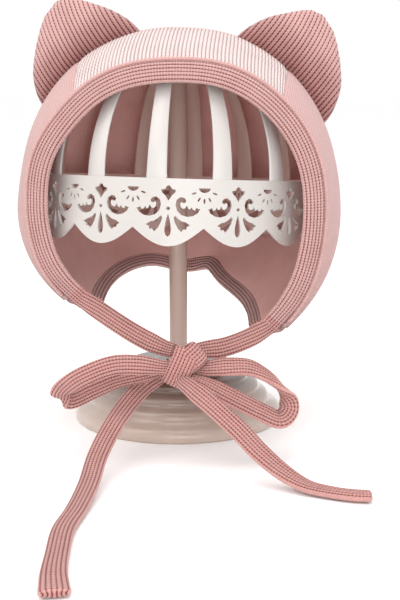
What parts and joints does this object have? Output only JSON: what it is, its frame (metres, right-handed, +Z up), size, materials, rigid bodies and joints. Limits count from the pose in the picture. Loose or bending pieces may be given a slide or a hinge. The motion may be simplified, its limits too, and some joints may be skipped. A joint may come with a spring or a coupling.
{
  "type": "baby hat with ears on a hat stand",
  "caption": "Knitted baby bonnet with two padded ears, ribbed bindings and a tied chin bow, held on a domed, lace-edged hat stand.",
  "frame": {"origin": "centre of the stand foot's flat underside", "axes": "+Z up, the face opening looks to -Y, +X is the viewer's right when facing the hat"},
  "size_m": [0.1694, 0.3175, 0.2209],
  "materials": {
    "rib_knit": "matt rib knit",
    "jersey_knit": "matt fine knit",
    "lining_knit": "matt fine knit",
    "ear_knit": "matt rib knit",
    "binding_knit": "matt rib knit",
    "tie_knit": "matt rib knit",
    "white_enamel": "gloss white enamel",
    "foot_plastic": "gloss off-white"
  },
  "bodies": {
    "root": {"centre_panel": "rib_knit", "side_panel_left": "jersey_knit", "side_panel_right": "jersey_knit", "lining": "lining_knit", "ear_left": "ear_knit", "ear_right": "ear_knit", "face_binding": "binding_knit", "neck_binding": "binding_knit", "tie_left_strap": "tie_knit", "tie_right_strap": "tie_knit", "bow_knot": "tie_knit", "bow_loop_left": "tie_knit", "bow_loop_right": "tie_knit", "tie_left_tail": "tie_knit", "tie_right_tail": "tie_knit", "lace_band": "white_enamel", "dome_strip_01": "white_enamel", "dome_strip_02": "white_enamel", "dome_strip_03": "white_enamel", "dome_strip_04": "white_enamel", "dome_strip_05": "white_enamel", "dome_strip_06": "white_enamel", "dome_strip_07": "white_enamel", "dome_strip_08": "white_enamel", "dome_strip_09": "white_enamel", "dome_strip_10": "white_enamel", "dome_strip_11": "white_enamel", "dome_strip_12": "white_enamel", "dome_strip_13": "white_enamel", "dome_strip_14": "white_enamel", "dome_cap": "white_enamel", "stand_post": "white_enamel", "stand_foot": "foot_plastic"}
  },
  "joints": []
}
